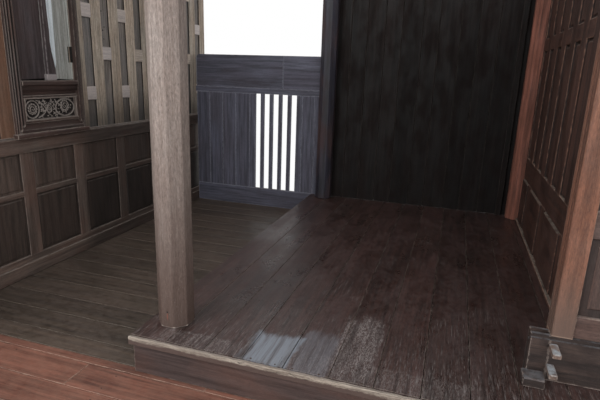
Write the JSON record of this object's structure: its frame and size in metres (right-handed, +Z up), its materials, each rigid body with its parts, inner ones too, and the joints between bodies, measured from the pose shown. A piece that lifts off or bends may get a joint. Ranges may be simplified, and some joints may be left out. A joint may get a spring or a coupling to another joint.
{
  "type": "thai timber house kitchen bay",
  "caption": "Corner bay of a Thai timber house: raised plank platform, octagonal posts, panelled walls with a moulded shuttered window, slatted parapet and open front.",
  "frame": {"origin": "centre of the footprint's bounding box, at the underside of the floor bearers", "axes": "+X to the right along the back wall, +Y to the back, +Z up"},
  "size_m": [3.698, 3.85, 2.71],
  "materials": {
    "underfloor_timber": "rough sawn, dull",
    "red_deck_planks": "worn red-brown oiled planks",
    "dark_platform_planks": "dark polished planks with pale worn patches",
    "riser_timber": "dark oiled board",
    "grey_post_timber": "weathered grey-brown, open grain",
    "dark_post_timber": "dark oiled, open grain",
    "beam_timber": "planed, dull",
    "grey_wall_timber": "weathered grey-brown",
    "grey_wall_panels": "weathered grey-brown",
    "window_timber": "weathered grey-brown, moulded",
    "carved_timber": "low-relief scroll carving, dusty",
    "dark_leaf_timber": "dark weathered",
    "pale_leaf_timber": "pale grey weathered",
    "parapet_timber": "dark grey weathered",
    "back_wall_timber": "near-black oiled boards",
    "right_wall_timber": "dark oiled, dusty ledges",
    "sill_timber": "dark oiled with pale worn edges",
    "peg_timber": "pale worn end grain",
    "orange_stile_timber": "orange-brown oiled",
    "front_wall_timber": "dark brown oiled"
  },
  "bodies": {
    "root": {"floor_bearers": "underfloor_timber", "platform_joists": "underfloor_timber", "lower_deck_front": "red_deck_planks", "lower_deck_side": "red_deck_planks", "platform_deck": "dark_platform_planks", "riser_front": "riser_timber", "riser_left": "riser_timber", "post_front_left": "grey_post_timber", "post_back_left": "dark_post_timber", "post_back_right": "dark_post_timber", "left_wall_plate": "beam_timber", "back_beam": "beam_timber", "side_beam": "beam_timber", "front_beam": "beam_timber", "front_wall_plate": "beam_timber", "right_wall_plate": "beam_timber", "left_wall_sole": "grey_wall_timber", "left_wall_lower_frame": "grey_wall_timber", "left_wall_waist_rail": "grey_wall_timber", "left_wall_front_frame": "grey_wall_timber", "left_wall_back_frame": "grey_wall_timber", "window_apron_board": "grey_wall_timber", "window_header_board": "grey_wall_timber", "left_wall_lower_panels": "grey_wall_panels", "left_wall_upper_panels": "grey_wall_panels", "window_surround": "window_timber", "window_base": "window_timber", "carving_frame": "window_timber", "window_ledge": "window_timber", "carved_panel": "carved_timber", "window_leaf_front": "dark_leaf_timber", "window_leaf_back": "pale_leaf_timber", "window_astragal": "dark_leaf_timber", "parapet_sole": "parapet_timber", "parapet_slats": "parapet_timber", "parapet_jamb": "parapet_timber", "parapet_boards": "parapet_timber", "parapet_rail": "parapet_timber", "parapet_panel": "parapet_timber", "opening_head": "parapet_timber", "back_wall_boards": "back_wall_timber", "back_wall_rails": "back_wall_timber", "back_wall_batten": "back_wall_timber", "right_wall_sole": "right_wall_timber", "right_wall_frame": "right_wall_timber", "right_wall_panels": "right_wall_timber", "right_wall_jamb": "right_wall_timber", "sill_beam": "sill_timber", "sill_block": "sill_timber", "sill_pegs": "peg_timber", "corner_stile": "orange_stile_timber", "front_wall_frame": "front_wall_timber", "front_wall_panels": "front_wall_timber"}
  },
  "joints": []
}
